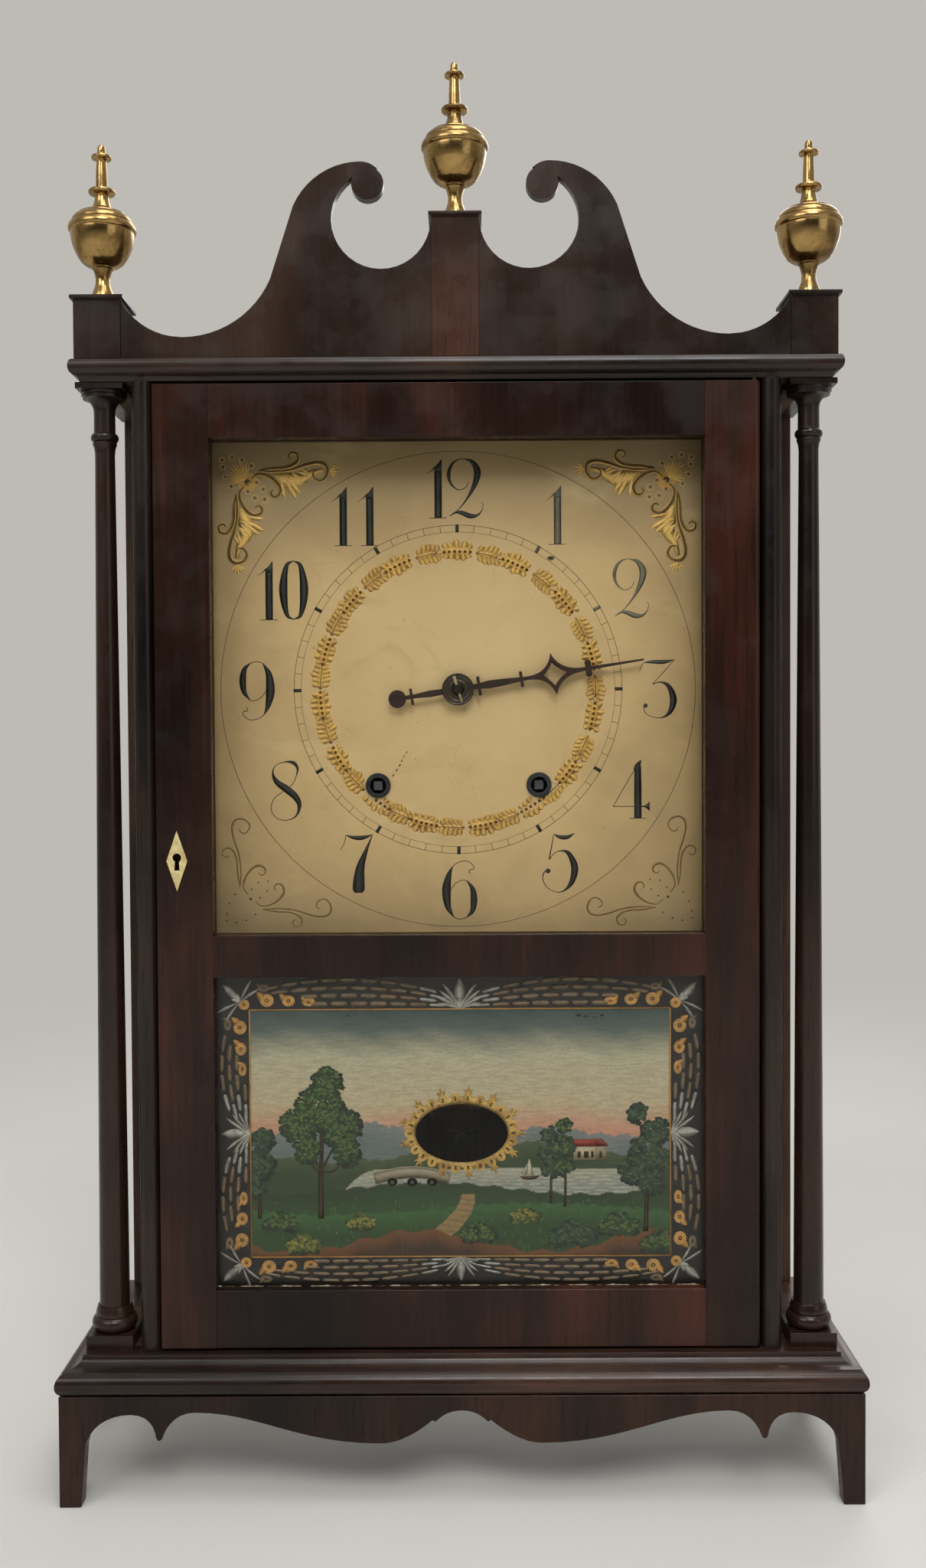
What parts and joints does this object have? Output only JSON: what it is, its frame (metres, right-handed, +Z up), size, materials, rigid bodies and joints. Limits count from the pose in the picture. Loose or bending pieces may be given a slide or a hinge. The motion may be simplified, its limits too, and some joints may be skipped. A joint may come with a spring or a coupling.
{
  "type": "table clock",
  "caption": "Weight-driven wooden shelf clock with a scroll crest, urn finials, turned columns and a glazed door over its painted dial and picture tablet.",
  "frame": {"origin": "middle of the footprint on the shelf, at the height of the feet", "axes": "+Z up, the dial faces -Y, +X to the right as seen from the front"},
  "size_m": [0.4416, 0.1256, 0.7879],
  "materials": {
    "mahogany": "french polish",
    "crest_mahogany": "french polish",
    "column_wood": "french polish",
    "door_veneer": "french polish",
    "pine": "bare, darkened",
    "movement_wood": "oiled",
    "brass": "polished, aged",
    "bone": "polished bone",
    "clear_glass": "old window glass",
    "painted_glass": "painted on the back",
    "painted_dial": "painted and gilt",
    "lead": "dull",
    "black_iron": "black",
    "iron": "forged",
    "bell_brass": "turned",
    "cord": "twisted"
  },
  "bodies": {
    "case": {"base_board": "mahogany", "base_moulding": "mahogany", "front_skirt": "mahogany", "side_skirts": "mahogany", "glue_blocks": "pine", "backboard": "pine", "side_left": "mahogany", "side_right": "mahogany", "stile_beads": "column_wood", "top_board": "pine", "cornice_moulding": "crest_mahogany", "column_left": "column_wood", "column_right": "column_wood", "crest_board": "crest_mahogany", "crest_plinths": "crest_mahogany", "side_finials": "brass", "finial_centre": "brass", "hinge_pins": "brass", "dial_board": "painted_dial", "dial_cleats": "pine", "winding_grommets": "lead", "front_plate": "movement_wood", "back_plate": "movement_wood", "plate_pillars": "movement_wood", "suspension_cock": "brass", "bell": "bell_brass", "cord_runs": "cord", "time_cord_drop": "cord", "strike_cord_drop": "cord"},
    "door": {"door_stile_left": "door_veneer", "door_stile_right": "door_veneer", "door_rails": "door_veneer", "dial_glass": "clear_glass", "tablet_glass": "painted_glass", "glass_stops": "pine", "escutcheon": "bone", "lock_case": "brass"},
    "bolt": {"lock_bolt": "iron"},
    "minute_arbor": {"centre_arbor": "movement_wood", "minute_hand": "black_iron"},
    "hour_pipe": {"hour_wheel": "movement_wood", "hour_hand": "black_iron"},
    "minute_work": {"minute_wheel": "movement_wood"},
    "time_great": {"time_great_wheel": "movement_wood"},
    "third_arbor": {"third_wheel": "movement_wood"},
    "escape_arbor": {"escape_wheel": "movement_wood"},
    "time_barrel": {"time_drum": "movement_wood"},
    "time_mass": {"time_weight": "iron"},
    "time_sheave": {"pulley_time": "movement_wood"},
    "strike_pins": {"pin_wheel": "movement_wood"},
    "strike_great": {"strike_great_wheel": "movement_wood"},
    "fly_arbor": {"fly": "movement_wood"},
    "count": {"count_wheel": "movement_wood"},
    "strike_barrel": {"strike_drum": "movement_wood"},
    "strike_mass": {"strike_weight": "iron"},
    "strike_sheave": {"pulley_strike": "movement_wood"},
    "pendulum_rod": {"pendulum": "brass"},
    "verge_arbor": {"verge": "iron"},
    "hammer_arbor": {"hammer": "iron"},
    "lever": {"strike_lever": "iron"}
  },
  "joints": [
    {"name": "door_hinge", "type": "hinge", "parent": "case", "child": "door", "pos_m": [0.1625, -0.043, 0.34], "axis": [0, 0, 1], "range_deg": [0, 115]},
    {"name": "lock_bolt_slide", "type": "slide", "parent": "door", "child": "bolt", "axis": [-1, 0, 0], "range_m": [0, 0.004]},
    {"name": "minute_turn", "type": "hinge", "parent": "case", "child": "minute_arbor", "pos_m": [0, 0, 0.4445], "axis": [0, 1, 0], "continuous": true},
    {"name": "hour_turn", "type": "hinge", "parent": "case", "child": "hour_pipe", "pos_m": [0, 0, 0.4445], "axis": [0, 1, 0], "continuous": true},
    {"name": "minute_wheel_turn", "type": "hinge", "parent": "case", "child": "minute_work", "pos_m": [0.024, 0, 0.4445], "axis": [0, 1, 0], "continuous": true},
    {"name": "time_great_turn", "type": "hinge", "parent": "case", "child": "time_great", "pos_m": [0.0454, 0, 0.3907], "axis": [0, 1, 0], "continuous": true},
    {"name": "third_turn", "type": "hinge", "parent": "case", "child": "third_arbor", "pos_m": [0.022, 0, 0.48261], "axis": [0, 1, 0], "continuous": true},
    {"name": "escape_turn", "type": "hinge", "parent": "case", "child": "escape_arbor", "pos_m": [0, 0, 0.51601], "axis": [0, 1, 0], "continuous": true},
    {"name": "time_winding", "type": "hinge", "parent": "time_great", "child": "time_barrel", "pos_m": [0.0454, 0, 0.3907], "axis": [0, 1, 0], "range_deg": [0, 1080]},
    {"name": "time_weight_slide", "type": "slide", "parent": "case", "child": "time_mass", "axis": [0, 0, 1], "range_m": [0, 0.3487], "deforming": ["time_cord_drop"]},
    {"name": "time_pulley_turn", "type": "hinge", "parent": "case", "child": "time_sheave", "pos_m": [0.1285, 0, 0.61815], "axis": [0, 1, 0], "range_deg": [-1755, 0]},
    {"name": "strike_turn", "type": "hinge", "parent": "case", "child": "strike_pins", "pos_m": [-0.06948, 0, 0.45685], "axis": [0, 1, 0], "continuous": true},
    {"name": "strike_great_turn", "type": "hinge", "parent": "case", "child": "strike_great", "pos_m": [-0.0454, 0, 0.3907], "axis": [0, 1, 0], "continuous": true},
    {"name": "fly_turn", "type": "hinge", "parent": "case", "child": "fly_arbor", "pos_m": [-0.07642, 0, 0.49624], "axis": [0, 1, 0], "continuous": true},
    {"name": "count_turn", "type": "hinge", "parent": "case", "child": "count", "pos_m": [-0.06948, 0, 0.42675], "axis": [0, 1, 0], "continuous": true},
    {"name": "strike_winding", "type": "hinge", "parent": "strike_great", "child": "strike_barrel", "pos_m": [-0.0454, 0, 0.3907], "axis": [0, -1, 0], "range_deg": [0, 1080]},
    {"name": "strike_weight_slide", "type": "slide", "parent": "case", "child": "strike_mass", "axis": [0, 0, 1], "range_m": [0, 0.3487], "deforming": ["strike_cord_drop"]},
    {"name": "strike_pulley_turn", "type": "hinge", "parent": "case", "child": "strike_sheave", "pos_m": [-0.1285, 0, 0.61815], "axis": [0, -1, 0], "range_deg": [-1755, 0]},
    {"name": "pendulum_swing", "type": "hinge", "parent": "case", "child": "pendulum_rod", "pos_m": [0, 0, 0.541], "axis": [0, 1, 0], "range_deg": [-3, 3]},
    {"name": "verge_swing", "type": "hinge", "parent": "case", "child": "verge_arbor", "pos_m": [0, 0, 0.541], "axis": [0, 1, 0], "range_deg": [-3, 3]},
    {"name": "hammer_lift", "type": "hinge", "parent": "case", "child": "hammer_arbor", "pos_m": [-0.03, 0, 0.486], "axis": [0, 1, 0], "range_deg": [-1, 12]},
    {"name": "lever_lift", "type": "hinge", "parent": "case", "child": "lever", "pos_m": [-0.034, 0, 0.466], "axis": [0, 1, 0], "range_deg": [0, 6]}
  ],
  "couplings": [
    {"joint": "hour_turn", "follows": "minute_turn", "ratio": 0.083333},
    {"joint": "minute_wheel_turn", "follows": "minute_turn", "ratio": -0.33333},
    {"joint": "time_great_turn", "follows": "minute_turn", "ratio": -0.125},
    {"joint": "third_turn", "follows": "minute_turn", "ratio": -9},
    {"joint": "escape_turn", "follows": "minute_turn", "ratio": 81},
    {"joint": "time_winding", "follows": "time_weight_slide", "rad_per_m": 54.054},
    {"joint": "time_pulley_turn", "follows": "time_weight_slide", "rad_per_m": -86.957},
    {"joint": "strike_great_turn", "follows": "strike_turn", "ratio": -0.125},
    {"joint": "fly_turn", "follows": "strike_turn", "ratio": -9},
    {"joint": "count_turn", "follows": "strike_turn", "ratio": -0.10256},
    {"joint": "strike_winding", "follows": "strike_weight_slide", "rad_per_m": 54.054},
    {"joint": "strike_pulley_turn", "follows": "strike_weight_slide", "rad_per_m": -86.957},
    {"joint": "verge_swing", "follows": "pendulum_swing", "ratio": 1}
  ]
}
